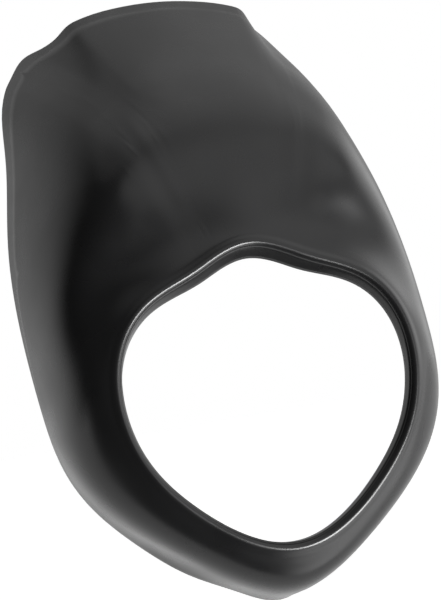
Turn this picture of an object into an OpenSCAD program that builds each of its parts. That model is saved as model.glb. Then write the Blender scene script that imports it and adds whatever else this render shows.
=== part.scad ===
// Motorcycle semi-fairing: a one-piece moulded cowl that wraps round a single headlamp.
// The origin is the lamp centre in the plane of the rim, -Y is forward, +X is right seen from the
// front and +Z is up. All sizes are in millimetres.

/* [Headlamp opening] */
// Radius of the rim beside the lamp
rim_side = 95.5; // [88:0.5:104]
// Height of the peak of the rim over the lamp centre
rim_peak = 92.5; // [88:0.5:104]
// Radius of the rim at the two valleys beside the peak
rim_valley = 87.5; // [84:0.5:92]
// Radius of the rim at its upper corners
rim_corner = 98; // [92:0.5:106]
// Radius of the rim at the two lower flanks of the V
rim_jaw = 87; // [84:0.5:94]
// Depth of the rounded V under the lamp centre
rim_chin = 94; // [88:0.5:104]
// Width of the rounded lip between rim and collar
lip_w = 4; // [3:0.25:5.5]
// Depth of the lip, from the rim back to the collar
lip_depth = 3.5; // [3:0.25:5]
// Depth of the collar, from the rim back to its free edge
collar_depth = 10; // [8:0.5:18]
// How far the collar leans into the opening at the peak
collar_lean = 5.5; // [0:0.5:8]

/* [Trim edge] */
// Height of the top edge over the lamp centre
top_z = 275.5; // [250:0.5:300]
// Depth of the top edge behind the rim
top_y = 110; // [95:1:125]
// Half width of the raised centre panel at the top edge
panel_x = 62; // [50:1:70]
// Half width at the shoulder corners
shoulder_x = 98; // [92:1:106]
// Height of the shoulder corners over the lamp centre
shoulder_z = 243; // [228:1:255]
// Depth of the shoulder corners behind the rim
shoulder_y = 149; // [138:1:165]
// Half width of the flanks, where the part is widest
flank_x = 130; // [122:1:145]
// Height of the widest point over the lamp centre
flank_z = 70; // [55:1:85]
// Depth of the flanks behind the rim
flank_y = 90; // [80:1:105]
// Half width at the jaw corners
jaw_x = 93; // [86:1:104]
// Height of the jaw corners, under the lamp centre
jaw_z = -70; // [-80:1:-62]
// Depth of the jaw behind the rim
jaw_y = 66; // [56:1:78]
// Height of the chin, under the lamp centre
chin_z = -130; // [-145:1:-120]
// Depth of the chin behind the rim
chin_y = 60; // [50:1:72]

/* [Shell] */
// Wall thickness
wall = 3; // [2:0.25:4]
// Step of the two creases at the top edge
crease_step = 2.5; // [0:0.25:3.5]
// Length of the creases, down from the top edge
crease_length = 78; // [50:1:100]
// Width over which a crease steps down
crease_w = 8; // [7:0.5:14]

/* [Screw bosses] */
// Outer diameter of a boss
boss_d = 12; // [9:0.5:16]
// Pilot bore for a 5 mm thread-forming screw
boss_bore = 4.2; // [3:0.1:5.5]
// Height of a boss over the inner face of the wall
boss_h = 14; // [8:0.5:20]
// Depth of the pilot bore
bore_depth = 12; // [6:0.5:18]
// Thickness of the ribs that stiffen a boss
rib_w = 1.8; // [1.2:0.1:2.4]
// How far the ribs reach out from the axis of a boss
rib_reach = 13; // [9:0.5:16]
// Half width between the upper bosses
upper_x = 78; // [74:0.5:82]
// Height of the upper bosses over the lamp centre
upper_z = 92; // [88:0.5:98]
// Half width between the lower bosses
lower_x = 89; // [87:0.5:93]
// Height of the lower bosses, under the lamp centre
lower_z = -52; // [-56:0.5:-44]

/* [Hidden] */

shell_colour = [0.13, 0.13, 0.135];

// Rim of the opening: angle round the lamp axis from the right-hand side, distance from that axis
rim_keys = [
    [-90, rim_chin],
    [-68, rim_chin - 4],
    [-46, rim_jaw],
    [-20, rim_side - 5],
    [5, rim_side],
    [28, rim_corner],
    [42, rim_corner - 3],
    [55, rim_valley + 2],
    [66, rim_valley],
    [78, rim_peak - 2.5],
    [90, rim_peak]
];

// Trim edge from the chin to the top, seen from the front: half width, height, depth, and how much of
// that depth is reached in a last turn of the wall
trim_points = [
    [0, chin_z, chin_y, 0],
    [23.5, chin_z + 9, chin_y + 0.5, 0],
    [jaw_x - 38, jaw_z - 33.5, jaw_y - 4, 0],
    [jaw_x - 14.5, jaw_z - 14.5, jaw_y - 2, 0],
    [jaw_x, jaw_z, jaw_y, 0],
    [jaw_x + 17.5, jaw_z + 22, jaw_y + 2, 0],
    [flank_x - 8.5, flank_z - 94, flank_y - 19, 0],
    [flank_x - 2.5, flank_z - 59, flank_y - 13.5, 0],
    [flank_x, flank_z - 22.5, flank_y - 6, 0],
    [flank_x, flank_z + 21, flank_y + 5, 0],
    [flank_x - 4.5, flank_z + 60, flank_y + 17, 0],
    [shoulder_x + 20.5, shoulder_z - 79.5, shoulder_y - 30, 0],
    [shoulder_x + 16, shoulder_z - 53, shoulder_y - 19, 0],
    [shoulder_x + 13, shoulder_z - 30, shoulder_y - 9, 0],
    [shoulder_x + 8.5, shoulder_z - 14, shoulder_y - 3, 0],
    [shoulder_x, shoulder_z, shoulder_y, 4],
    [shoulder_x - 12.5, top_z - 18, shoulder_y - 2.5, 7],
    [panel_x + 15, top_z - 16.5, top_y + 23, 2],
    [panel_x + 8, top_z - 14.5, top_y + 10, -6],
    [panel_x, top_z - 10.5, top_y + 2, -9],
    [panel_x - 21, top_z - 3.5, top_y + 1.5, 0],
    [0, top_z, top_y, 0]
];
trim_keys = [for (p = trim_points) [atan2(p[1], p[0]), [norm([p[0], p[1]]), p[2], p[3]]]];
turn_power = 9;

// Two guide rails that the wall bends along between the rim and the trim edge: angle round the lamp
// axis, then distance from that axis and depth of the first rail, and the same of the second
rail_keys = [
    [-90, [125, 8, 123, 35]],
    [-65, [119, 13.5, 109.5, 37]],
    [-35, [119, 16.5, 112, 38.5]],
    [-10, [124, 20, 124, 40.5]],
    [15, [118, 10, 128, 29]],
    [30, [129.5, 25.5, 134, 10]],
    [42, [138, 32, 139, -17]],
    [54, [141, 28.5, 152.5, -41]],
    [66, [143.5, 21.5, 163, -51]],
    [78, [140.5, 14.5, 160, -26.5]],
    [90, [144, 8.5, 173.5, -7]]
];

// Where the outer wall starts outside the rim, and how far behind it
flare_w = 6;
flare_depth = 3;

// How far the collar leans into the opening at its sides
side_lean = 0.7;

// Angle steps round one half, from chin to top: closest together where the crease runs
station_runs = [[-90, 50, 34], [50, 66, 7], [66, 78, 17], [78, 90, 4]];
half_stations = concat([for (run = station_runs) for (i = [0:run[2] - 1])
    run[0] + (run[1] - run[0]) * i / run[2]], [90]);
half_count = len(half_stations);
around = 2 * half_count - 2;
outer_rings = 14;
inner_rings = 10;
nudge = 0.01;
angle_nudge = 0.5;

boss_places = [[upper_x, upper_z], [lower_x, lower_z]];
patch_steps = 4;
halvings = 20;

// Slopes of a smooth curve through keys [at, value], level at both of its ends
function sweep(keys, i, c, d) = i == len(keys) - 1 ? [c, d] :
    let(before = 1 / (keys[i][0] - keys[i - 1][0]),
        after = 1 / (keys[i + 1][0] - keys[i][0]),
        pivot = 2 * (before + after) - before * c[i - 1],
        pull = 3 * (before * before * (keys[i][1] - keys[i - 1][1])
            + after * after * (keys[i + 1][1] - keys[i][1])))
    sweep(keys, i + 1, concat(c, [after / pivot]), concat(d, [(pull - before * d[i - 1]) / pivot]));
function back_substitute(c, d, i, slopes) = i < 0 ? slopes :
    back_substitute(c, d, i - 1, concat([d[i] - c[i] * slopes[0]], slopes));
function smooth(keys) =
    let(level = keys[0][1] * 0,
        swept = sweep(keys, 1, [0], [level]),
        slopes = back_substitute(swept[0], swept[1], len(keys) - 2, [level]))
    [for (i = [0:len(keys) - 1]) [keys[i][0], keys[i][1], slopes[i]]];
function span_of(curve, at, i) = i >= len(curve) - 2 || at < curve[i + 1][0] ? i : span_of(curve, at, i + 1);
function value(curve, at) =
    let(i = span_of(curve, at, 0), a = curve[i], b = curve[i + 1],
        h = b[0] - a[0], t = (at - a[0]) / h)
    a[1] * (1 + 2 * t) * (1 - t) * (1 - t) + b[1] * t * t * (3 - 2 * t)
        + a[2] * h * t * (1 - t) * (1 - t) - b[2] * h * t * t * (1 - t);

rim_curve = smooth(rim_keys);
trim_curve = smooth(trim_keys);
rail_curve = smooth(rail_keys);

// Angles outside the right half repeat its mirror image
function folded(angle) = angle > 90 ? 180 - angle : angle < -90 ? -180 - angle : angle;
function rim_radius(angle) = value(rim_curve, folded(angle));
function ease(t) = let(u = max(0, min(1, t))) u * u * (3 - 2 * u);

// One section of the outer wall: four handles [distance from the axis, depth], and its last turn
function handles(angle) =
    let(at = folded(angle),
        edge = value(trim_curve, at),
        rails = value(rail_curve, at))
    [[value(rim_curve, at) + flare_w, flare_depth], [rails[0], rails[1]], [rails[2], rails[3]],
        [edge[0], edge[1] - edge[2]], [0, edge[2]]];
function on_section(h, t) = h[0] * pow(1 - t, 3) + 3 * h[1] * t * pow(1 - t, 2)
    + 3 * h[2] * t * t * (1 - t) + h[3] * pow(t, 3) + h[4] * pow(t, turn_power);
function along_section(h, t) = (h[1] - h[0]) * pow(1 - t, 2) + 2 * (h[2] - h[1]) * t * (1 - t)
    + (h[3] - h[2]) * t * t + h[4] * turn_power / 3 * pow(t, turn_power - 1);

// How deep the crease lies at a point given by half width and height
function crease_drop(half_width, height) =
    let(crease_end = top_z - crease_length,
        crease_x = panel_x + (top_z - 10.5 - height) * 0.11,
        fade = ease((height - crease_end) / (crease_length * 0.7)),
        outside = half_width - crease_x)
    crease_step * fade * ease(outside / crease_w) * (1 - ease((outside - crease_w) / (4 * crease_w)));

// A point of the outer face: angle round the lamp axis, and 0 at the rim to 1 at the trim edge
function outer_point(angle, t) =
    let(h = handles(angle), p = on_section(h, t), run = along_section(h, t), inward = [-run[1], run[0]] / norm(run),
        drop = crease_drop(abs(p[0] * cos(angle)), p[0] * sin(angle)),
        q = p + drop * inward)
    [q[0] * cos(angle), q[1], q[0] * sin(angle)];
function inward_normal(angle, t) =
    let(low = max(0, t - nudge), high = min(1, t + nudge),
        along = outer_point(angle, high) - outer_point(angle, low),
        across = outer_point(angle + angle_nudge, t) - outer_point(angle - angle_nudge, t),
        normal = cross(across, along))
    normal / norm(normal);
function inner_point(angle, t) = outer_point(angle, t) + wall * inward_normal(angle, t);

// Lip and collar, as [distance outside the rim, depth], from the collar's free edge to the flare
function collar_offset(angle) =
    -lip_w - side_lean * pow(cos(angle), 2) - collar_lean * pow(max(0, sin(angle)), 1.5);
function lip_profile(angle) = [
    [collar_offset(angle), collar_depth],
    [(collar_offset(angle) - lip_w) / 2, (collar_depth + lip_depth) / 2],
    [-lip_w, lip_depth],
    [0.5 - lip_w, lip_depth - 0.4],
    [-0.85 * lip_w, lip_depth * 0.62],
    [-0.55 * lip_w, lip_depth * 0.2],
    [-0.25 * lip_w, 0.1],
    [0, 0],
    [1.5, 0.4],
    [3, 1.4],
    [4.5, 2.4]
];
function ring_point(angle, q) = let(r = rim_radius(angle) + q[0]) [r * cos(angle), q[1], r * sin(angle)];

// One column of points, right round the wall: lip, outer face, trim edge, inner face, back of the collar
function column(angle) = concat(
    [for (q = lip_profile(angle)) ring_point(angle, q)],
    [for (j = [0:outer_rings]) outer_point(angle, j / outer_rings)],
    [let(edge = (outer_point(angle, 1) + inner_point(angle, 1)) / 2, run = outer_point(angle, 1) - outer_point(angle, 1 - nudge))
        edge + wall * 0.25 * run / norm(run)],
    [for (j = [0:inner_rings]) inner_point(angle, 1 - j / inner_rings * 0.97)],
    [ring_point(angle, [2 - lip_w, lip_depth + wall]),
        ring_point(angle, [collar_offset(angle) + wall * 0.85, collar_depth])]);

module shell_wall() {
    right_half = [for (angle = half_stations) column(angle)];
    rings = len(right_half[0]);
    points = [for (i = [0:around - 1]) for (j = [0:rings - 1])
        i < half_count ? right_half[i][j] :
            let(p = right_half[around - i][j]) [-p[0], p[1], p[2]]];
    faces = [for (i = [0:around - 1]) for (j = [0:rings - 1])
        let(i2 = (i + 1) % around, j2 = (j + 1) % rings,
            a = i * rings + j, b = i * rings + j2, c = i2 * rings + j2, d = i2 * rings + j)
        each [[a, c, b], [a, d, c]]];
    polyhedron(points, faces, convexity = 8);
}

// Depth of the outer face at a point seen from the front, found by halving the section again and again
function section_at(h, distance, low, high, steps) =
    let(t = (low + high) / 2)
    steps == 0 ? t : on_section(h, t)[0] < distance ? section_at(h, distance, t, high, steps - 1) :
        section_at(h, distance, low, t, steps - 1);
function wall_depth(x, z) =
    let(h = handles(atan2(z, x)))
    on_section(h, section_at(h, norm([x, z]), 0, 1, halvings))[1];

// All the space behind the middle of the wall, over a square round [x, z] and up to one depth
module behind_wall(x, z, half, depth) {
    side = patch_steps + 1;
    front = [for (i = [0:patch_steps]) for (j = [0:patch_steps])
        let(px = x + half * (2 * i / patch_steps - 1), pz = z + half * (2 * j / patch_steps - 1))
        [px, wall_depth(px, pz) + wall / 2, pz]];
    back = [for (p = front) [p[0], depth, p[2]]];
    count = len(front);
    function sheet(k) = [for (i = [0:patch_steps - 1]) for (j = [0:patch_steps - 1])
        let(a = i * side + j + k) [a, a + 1, a + side + 1, a + side]];
    function flipped(face) = [for (i = [len(face) - 1:-1:0]) face[i]];
    edges = concat([for (i = [0:patch_steps - 1]) [i * side, (i + 1) * side]],
        [for (j = [0:patch_steps - 1]) [patch_steps * side + j, patch_steps * side + j + 1]],
        [for (i = [patch_steps:-1:1]) [i * side + patch_steps, (i - 1) * side + patch_steps]],
        [for (j = [patch_steps:-1:1]) [j, j - 1]]);
    triangles = concat(
        [for (f = sheet(0)) each [[f[0], f[1], f[2]], [f[0], f[2], f[3]]]],
        [for (f = sheet(count)) each [flipped([f[0], f[1], f[2]]), flipped([f[0], f[2], f[3]])]],
        [for (e = edges) each [[e[0], e[1], e[1] + count], [e[0], e[1] + count, e[0] + count]]]);
    polyhedron(concat(front, back), triangles, convexity = 4);
}

// A boss stands along the lamp axis, the way the mould opens, on four ribs; its foot follows the wall
module boss(x, z) {
    top = wall_depth(x, z) + wall + boss_h;
    intersection() {
        translate([x, 0, z]) rotate([0, -atan2(z, x), 0]) union() {
            rotate([-90, 0, 0]) cylinder(d = boss_d, h = top, $fn = 32);
            for (turn = [0:90:270]) rotate([0, turn, 0]) translate([0, 0, -rib_w / 2])
                linear_extrude(rib_w)
                polygon([[0, 0], [rib_reach, 0], [rib_reach, top - boss_h * 0.8], [boss_d / 2, top - boss_h * 0.3],
                    [0, top - boss_h * 0.3]]);
        }
        behind_wall(x, z, rib_reach + 1, top);
    }
}

module pilot_bore(x, z) {
    top = wall_depth(x, z) + wall + boss_h;
    translate([x, top - bore_depth, z]) rotate([-90, 0, 0]) cylinder(d = boss_bore, h = bore_depth + 1, $fn = 48);
}

module fairing_shell() {
    color(shell_colour) difference() {
        union() {
            shell_wall();
            for (at = boss_places) {
                boss(at[0], at[1]);
                mirror([1, 0, 0]) boss(at[0], at[1]);
            }
        }
        for (at = boss_places) {
            pilot_bore(at[0], at[1]);
            mirror([1, 0, 0]) pilot_bore(at[0], at[1]);
        }
    }
}

fairing_shell();
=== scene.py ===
# %% [markdown]
# A moulded headlamp cowl for a motorcycle, in satin black ABS.
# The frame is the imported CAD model: one node, one body. Everything below is in metres and in its
# axes, with the lamp centre at the origin, -Y forward, +X right from the front and +Z up.

# %% Load the frame
import math
import bmesh
import bpy
from mathutils import Matrix, Vector


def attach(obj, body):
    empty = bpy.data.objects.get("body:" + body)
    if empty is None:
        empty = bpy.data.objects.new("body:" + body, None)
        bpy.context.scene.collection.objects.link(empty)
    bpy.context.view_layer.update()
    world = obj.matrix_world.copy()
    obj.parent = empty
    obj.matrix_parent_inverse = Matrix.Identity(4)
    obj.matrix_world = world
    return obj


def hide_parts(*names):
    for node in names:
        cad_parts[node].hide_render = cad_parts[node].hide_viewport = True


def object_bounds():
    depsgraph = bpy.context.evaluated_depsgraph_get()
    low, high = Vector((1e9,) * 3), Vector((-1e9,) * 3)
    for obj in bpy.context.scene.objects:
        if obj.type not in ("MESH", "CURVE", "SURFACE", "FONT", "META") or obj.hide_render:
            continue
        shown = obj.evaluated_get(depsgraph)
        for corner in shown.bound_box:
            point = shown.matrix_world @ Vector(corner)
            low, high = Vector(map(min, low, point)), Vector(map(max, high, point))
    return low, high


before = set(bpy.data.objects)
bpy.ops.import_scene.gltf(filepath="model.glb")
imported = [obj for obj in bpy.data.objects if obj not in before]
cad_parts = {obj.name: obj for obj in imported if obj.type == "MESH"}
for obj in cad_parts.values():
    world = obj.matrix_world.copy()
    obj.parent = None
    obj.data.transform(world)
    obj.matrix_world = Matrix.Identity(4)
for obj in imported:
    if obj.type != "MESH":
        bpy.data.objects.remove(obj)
cad_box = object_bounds()
print("CAD box", [[round(c, 4) for c in corner] for corner in cad_box])

# %% [markdown]
# The photograph looks at the cowl from a little to the left of straight ahead, level with the lamp,
# and the cowl leans in the picture. A camera could be aimed with a Track To constraint, but then
# the lean and the framing would be guesses. Here three vectors of the view are worked out, rolled,
# and turned until the lamp centre falls on its own pixel.

# %% Camera
PHOTO_WIDTH, PHOTO_HEIGHT = 441, 600
LAMP_PIXEL_X, LAMP_PIXEL_Y = 275.0, 392.1
LENS_MM = 90.0
SENSOR_MM = 36.0
VIEW_AZIMUTH = math.radians(18.64)
VIEW_ROLL = math.radians(9.99)
VIEW_DISTANCE = 0.9008


def lamp_on_its_pixel():
    """The turn that moves the lamp from the picture's middle to its own pixel."""
    pixels_per_slope = LENS_MM / SENSOR_MM * PHOTO_HEIGHT
    across = (LAMP_PIXEL_X - PHOTO_WIDTH / 2) / pixels_per_slope
    up = (PHOTO_HEIGHT / 2 - LAMP_PIXEL_Y) / pixels_per_slope
    to_lamp = Vector((across, up, -1)).normalized()
    return Vector((0, 0, -1)).rotation_difference(to_lamp).to_matrix()


def aim_camera():
    back = Vector((-math.sin(VIEW_AZIMUTH), -math.cos(VIEW_AZIMUTH), 0))
    right = Vector((math.cos(VIEW_AZIMUTH), -math.sin(VIEW_AZIMUTH), 0))
    level = Matrix((right, back.cross(right), back))
    rolled = Matrix.Rotation(VIEW_ROLL, 3, "Z") @ level
    seen = lamp_on_its_pixel() @ rolled
    data = bpy.data.cameras.new("photo_camera")
    data.sensor_fit = "VERTICAL"
    data.sensor_height = SENSOR_MM
    data.lens = LENS_MM
    data.dof.use_dof = False
    camera = bpy.data.objects.new("photo_camera", data)
    bpy.context.scene.collection.objects.link(camera)
    place = Matrix.Translation(back * VIEW_DISTANCE)
    camera.matrix_world = place @ seen.transposed().to_4x4()
    bpy.context.scene.camera = camera
    return camera


camera = aim_camera()
print("camera at", [round(c, 3) for c in camera.location])

# %% [markdown]
# The cowl is one moulded shell. It could be modelled again from curves, but the CAD node already
# holds its true form as small flat facets. So a copy of that node is welded, its triangles are
# paired back into quads, and a Subdivision Surface rounds it. The sharp edges of the screw bosses
# are creased first, so that they stay crisp.

# %% Shell
WELD = 1e-5
FLAT_ENOUGH = math.radians(30)
SQUARE_ENOUGH = math.radians(80)
CREASE_ANGLE = math.radians(40)
ROUNDING_LEVELS = 1


def smooth_shell(node):
    mesh = bpy.data.meshes.new("cowl_shell")
    bm = bmesh.new()
    bm.from_mesh(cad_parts[node].data)
    bmesh.ops.remove_doubles(bm, verts=bm.verts, dist=WELD)
    bmesh.ops.join_triangles(bm, faces=bm.faces, angle_face_threshold=FLAT_ENOUGH,
                             angle_shape_threshold=SQUARE_ENOUGH)
    crease = bm.edges.layers.float.new("crease_edge")
    for edge in bm.edges:
        sharp = len(edge.link_faces) == 2 and edge.calc_face_angle() > CREASE_ANGLE
        edge[crease] = 1.0 if sharp else 0.0
    for face in bm.faces:
        face.smooth = True
    bm.to_mesh(mesh)
    bm.free()
    return mesh


shell = bpy.data.objects.new("cowl_shell", smooth_shell("fairing_shell"))
bpy.context.scene.collection.objects.link(shell)
round_off = shell.modifiers.new("round_off", "SUBSURF")
round_off.levels = ROUNDING_LEVELS
round_off.render_levels = ROUNDING_LEVELS
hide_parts("fairing_shell")
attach(shell, "root")
quads = sum(len(face.vertices) == 4 for face in shell.data.polygons)
print("shell", len(shell.data.polygons), "faces, of them", quads, "quads")

# %% [markdown]
# The real wall runs evenly up from the lamp opening to the raised panel. The CAD wall swells a
# little at both sides there and sinks a little in the middle. On a glossy part even one millimetre
# shows as a blot of light, so soft bells press it back or draw it forward, like the thumb of a clay
# modeller. A Smooth operator would even it too, but it would also soften the long fold.

# %% Even wall
# middle's half width and height, reach across and up, and depth towards the back, in millimetres
PRESSES = {
    "swelling_each_side": (52, 140, 34, 30, 1.6),
    "hollow_over_the_peak": (0, 117, 46, 22, -1.1),
}
MM = 1000


def bell(distance, reach):
    """1 in the middle, falling softly to 0 at the reach."""
    near = max(0.0, 1 - (distance / reach) ** 2)
    return near * near


def even_wall(mesh):
    for vertex in mesh.vertices:
        x, y, z = vertex.co * MM
        for middle_x, middle_z, reach_x, reach_z, depth in PRESSES.values():
            y += depth * bell(abs(x) - middle_x, reach_x) * bell(z - middle_z, reach_z)
        vertex.co.y = y / MM


even_wall(shell.data)
print("evened", ", ".join(PRESSES))

# %% [markdown]
# Four small tools save writing each material node out. One adds a noise that keeps its place on the
# part, one stretches a value to a new range, one calculates with numbers or other nodes, and one
# compares two directions. Node groups could do the same, but plain functions are easier to read.

# %% Tools for materials


def add_noise(tree, size, detail):
    place = tree.nodes.new("ShaderNodeTexCoord")
    noise = tree.nodes.new("ShaderNodeTexNoise")
    noise.inputs["Scale"].default_value = 1 / size
    noise.inputs["Detail"].default_value = detail
    tree.links.new(place.outputs["Object"], noise.inputs["Vector"])
    return noise.outputs["Fac"]


def stretch(tree, value, old_range, new_range):
    ramp = tree.nodes.new("ShaderNodeMapRange")
    ramp.inputs["From Min"].default_value, ramp.inputs["From Max"].default_value = old_range
    ramp.inputs["To Min"].default_value, ramp.inputs["To Max"].default_value = new_range
    tree.links.new(value, ramp.inputs["Value"])
    return ramp.outputs["Result"]


def calculate(tree, operation, *values):
    node = tree.nodes.new("ShaderNodeMath")
    node.operation = operation
    for socket, value in zip(node.inputs, values):
        if isinstance(value, bpy.types.NodeSocket):
            tree.links.new(value, socket)
        else:
            socket.default_value = value
    return node.outputs[0]


def compare_directions(tree, one, other):
    """1 where both point the same way, less as they part."""
    match = tree.nodes.new("ShaderNodeVectorMath")
    match.operation = "DOT_PRODUCT"
    tree.links.new(one, match.inputs[0])
    if isinstance(other, bpy.types.NodeSocket):
        tree.links.new(other, match.inputs[1])
    else:
        match.inputs[1].default_value = other
    return match.outputs["Value"]


TOOLS = (add_noise, stretch, calculate, compare_directions)
print("tools", ", ".join(tool.__name__ for tool in TOOLS))

# %% [markdown]
# Hands and cloths rub the edges of such a part, and the black there turns a trace paler and duller.
# The photograph is too coarse to show it, so it is kept faint. The edges could be painted by hand on
# a map, but the map would be wrong after every change of shape. A Bevel node finds them: where its
# rounded normal leaves the true one, there is an edge. A noise breaks the line up, because rubbing
# is never even.

# %% Rubbed edges
RUB_WIDTH = 0.0012
RUB_SAMPLES = 4
RUB_SIZE = 0.004
RUB_DETAIL = 3
NORMALS_PART = (0.99, 0.85)
RUB_PATCHES = (0.4, 0.65)


def rubbed_edges(tree):
    rounded = tree.nodes.new("ShaderNodeBevel")
    rounded.samples = RUB_SAMPLES
    rounded.inputs["Radius"].default_value = RUB_WIDTH
    true_face = tree.nodes.new("ShaderNodeNewGeometry")
    match = compare_directions(tree, rounded.outputs["Normal"], true_face.outputs["Normal"])
    edge = stretch(tree, match, NORMALS_PART, (0, 1))
    patchy = stretch(tree, add_noise(tree, RUB_SIZE, RUB_DETAIL), RUB_PATCHES, (0, 1))
    return calculate(tree, "MULTIPLY", edge, patchy)


print("edges rubbed", RUB_WIDTH * MM, "mm wide")

# %% [markdown]
# Satin black ABS is a dark base under a clear moulded skin. The skin carries the fine grain of the
# steel mould, and its gloss drifts a little over the part, more matt here and more glossy there. A
# painted texture could show all this, but it would blur close by, so each is worked out from the
# place on the part.

# %% Satin black ABS
FRESH_BLACK = (0.0075, 0.0075, 0.0078, 1)
RUBBED_BLACK = (0.028, 0.028, 0.029, 1)
RUB_ROUGHNESS = 0.08
GLOSSY, MATT = 0.24, 0.33
DRIFT_SIZE = 0.035
DRIFT_DETAIL = 2
DRIFT_PATCHES = (0.3, 0.7)
GRAIN_SIZE = 0.0006
GRAIN_DETAIL = 2
GRAIN_DEPTH = 0.00001
GRAIN_STRENGTH = 0.45


def mould_grain(tree):
    bump = tree.nodes.new("ShaderNodeBump")
    bump.inputs["Strength"].default_value = GRAIN_STRENGTH
    bump.inputs["Distance"].default_value = GRAIN_DEPTH
    tree.links.new(add_noise(tree, GRAIN_SIZE, GRAIN_DETAIL), bump.inputs["Height"])
    return bump.outputs["Normal"]


def rubbed_colour(tree, rubbed):
    colour = tree.nodes.new("ShaderNodeMix")
    colour.data_type = "RGBA"
    colour.inputs["A"].default_value = FRESH_BLACK
    colour.inputs["B"].default_value = RUBBED_BLACK
    tree.links.new(rubbed, colour.inputs["Factor"])
    return colour.outputs["Result"]


def satin_black():
    material = bpy.data.materials.new("satin_black_abs")
    material.use_nodes = True
    tree = material.node_tree
    shader = tree.nodes["Principled BSDF"]
    rubbed = rubbed_edges(tree)
    drift = stretch(tree, add_noise(tree, DRIFT_SIZE, DRIFT_DETAIL), DRIFT_PATCHES, (GLOSSY, MATT))
    roughness = calculate(tree, "MULTIPLY_ADD", rubbed, RUB_ROUGHNESS, drift)
    tree.links.new(rubbed_colour(tree, rubbed), shader.inputs["Base Color"])
    tree.links.new(roughness, shader.inputs["Roughness"])
    tree.links.new(mould_grain(tree), shader.inputs["Normal"])
    return material


shell.data.materials.append(satin_black())
print("material", shell.data.materials[0].name)

# %% [markdown]
# The part floats on pure white in the photograph. Leaving the floor out would do for that, but the
# part should keep its shadow. So a plain pale floor lies under it. Its paint gives off a little
# light of its own, seen by the camera and in the glossy shell only, so it shows white there and
# lights nothing else.

# %% Floor
FLOOR_GAP = 0.1
FLOOR_HALF = 8.0
FLOOR_FRONT = -0.03
FLOOR_COLOUR = (0.9, 0.9, 0.9, 1)
FLOOR_ROUGHNESS = 0.9
FLOOR_LIFT = 0.5
FLOOR_LIFT_MIRRORED = 0.4
WHITE = (1, 1, 1, 1)


def floor_paint():
    paint = bpy.data.materials.new("floor_paint")
    paint.use_nodes = True
    tree = paint.node_tree
    shader = tree.nodes["Principled BSDF"]
    shader.inputs["Base Color"].default_value = FLOOR_COLOUR
    shader.inputs["Roughness"].default_value = FLOOR_ROUGHNESS
    shader.inputs["Specular IOR Level"].default_value = 0.0
    path = tree.nodes.new("ShaderNodeLightPath").outputs
    mirrored = calculate(tree, "MULTIPLY", path["Is Glossy Ray"], FLOOR_LIFT_MIRRORED)
    seen = calculate(tree, "MULTIPLY_ADD", path["Is Camera Ray"], FLOOR_LIFT, mirrored)
    lift = tree.nodes.new("ShaderNodeEmission")
    lift.inputs["Color"].default_value = WHITE
    tree.links.new(seen, lift.inputs["Strength"])
    both = tree.nodes.new("ShaderNodeAddShader")
    tree.links.new(shader.outputs["BSDF"], both.inputs[0])
    tree.links.new(lift.outputs["Emission"], both.inputs[1])
    tree.links.new(both.outputs["Shader"], tree.nodes["Material Output"].inputs["Surface"])
    return paint


def lay_floor():
    mesh = bpy.data.meshes.new("floor")
    bm = bmesh.new()
    bmesh.ops.create_grid(bm, x_segments=1, y_segments=1, size=FLOOR_HALF)
    under_the_part = (0, FLOOR_FRONT + FLOOR_HALF, cad_box[0][2] - FLOOR_GAP)
    bmesh.ops.translate(bm, verts=bm.verts, vec=under_the_part)
    bm.to_mesh(mesh)
    bm.free()
    floor = bpy.data.objects.new("floor", mesh)
    bpy.context.scene.collection.objects.link(floor)
    mesh.materials.append(floor_paint())
    return floor


print("floor at", round(lay_floor().data.vertices[0].co.z, 3))

# %% [markdown]
# A glossy black part shows its surroundings more than its colour. In the photograph it seems to
# stand in a white sweep, with a dark room on the camera's left, a soft ceiling and a bright window
# on the right. That studio could be built from lamps and cards, but then the cards would stand in
# the way of other views. Here the world itself is the studio: soft round patches of light or dark
# are added to an even light. Each has a direction, an inner angle where it is full and an outer one
# where it ends.

# %% Studio
SURROUND = 0.5
DARKEST = 0.06
# azimuth from straight ahead towards the right, elevation, inner angle, outer angle, strength
PATCHES = {
    "dark_room": (-40, 5, 40, 100, -0.5),
    "dark_front_floor": (5, -70, 25, 60, -0.35),
    "white_sweep": (-145, -30, 20, 60, 0.5),
    "ceiling": (-40, 75, 18, 34, 0.28),
    "high_window": (75, 58, 12, 36, 0.5),
    "window": (95, 2, 12, 45, 1.9),
    "lamp": (20, 28, 8, 30, 0.8),
    "front_haze": (36, 0, 10, 30, 0.2),
    "low_window": (62, -48, 10, 34, 2.4),
}


def direction(azimuth, elevation):
    azimuth, elevation = math.radians(azimuth), math.radians(elevation)
    level = math.cos(elevation)
    return (math.sin(azimuth) * level, -math.cos(azimuth) * level, math.sin(elevation))


def add_patch(tree, looking, azimuth, elevation, inner, outer, strength):
    match = compare_directions(tree, looking, direction(azimuth, elevation))
    edges = (math.cos(math.radians(outer)), math.cos(math.radians(inner)))
    patch = stretch(tree, match, edges, (0, strength))
    patch.node.interpolation_type = "SMOOTHSTEP"
    return patch


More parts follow.
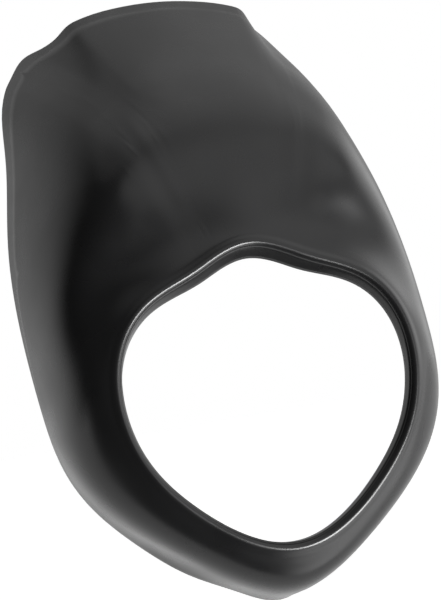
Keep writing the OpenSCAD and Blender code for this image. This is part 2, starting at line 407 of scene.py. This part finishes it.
def light_the_studio():
    world = bpy.data.worlds.new("studio")
    bpy.context.scene.world = world
    world.use_nodes = True
    tree = world.node_tree
    looking = tree.nodes.new("ShaderNodeTexCoord").outputs["Generated"]
    total = SURROUND
    for patch in PATCHES.values():
        total = calculate(tree, "ADD", total, add_patch(tree, looking, *patch))
    room = tree.nodes["Background"]
    room.inputs["Color"].default_value = WHITE
    tree.links.new(calculate(tree, "MAXIMUM", total, DARKEST), room.inputs["Strength"])
    backdrop = tree.nodes.new("ShaderNodeBackground")
    backdrop.inputs["Color"].default_value = WHITE
    backdrop.inputs["Strength"].default_value = 1.0
    path = tree.nodes.new("ShaderNodeLightPath").outputs
    pick = tree.nodes.new("ShaderNodeMixShader")
    tree.links.new(path["Is Camera Ray"], pick.inputs[0])
    tree.links.new(room.outputs[0], pick.inputs[1])
    tree.links.new(backdrop.outputs[0], pick.inputs[2])
    tree.links.new(pick.outputs[0], tree.nodes["World Output"].inputs["Surface"])
    return world


print("studio", light_the_studio().name, "with", ", ".join(PATCHES))

# %% [markdown]
# In the photograph a bright line runs round the opening. The round bead of the rim draws it, as the
# only form that turns towards the low right. Another patch of the world could light it, but a real
# lamp near the part gives a clearer line, and its width sets how soft the line is.

# %% Low lamp
LAMP_PLACE = (30, -22)
LAMP_DISTANCE = 0.85
LAMP_WIDTH = 0.34
LAMP_WATTS = 9.0


def low_lamp():
    data = bpy.data.lights.new("low_lamp", "AREA")
    data.shape = "DISK"
    data.size = LAMP_WIDTH
    data.energy = LAMP_WATTS
    lamp = bpy.data.objects.new("low_lamp", data)
    bpy.context.scene.collection.objects.link(lamp)
    lamp.location = Vector(direction(*LAMP_PLACE)) * LAMP_DISTANCE
    lamp.rotation_euler = lamp.location.to_track_quat("Z", "Y").to_euler()
    return lamp


print("low lamp at", [round(c, 2) for c in low_lamp().location])

# %% [markdown]
# The view is set to Standard, because Blender's own choice would turn the white ground grey.

# %% View transform
bpy.context.scene.view_settings.view_transform = "Standard"
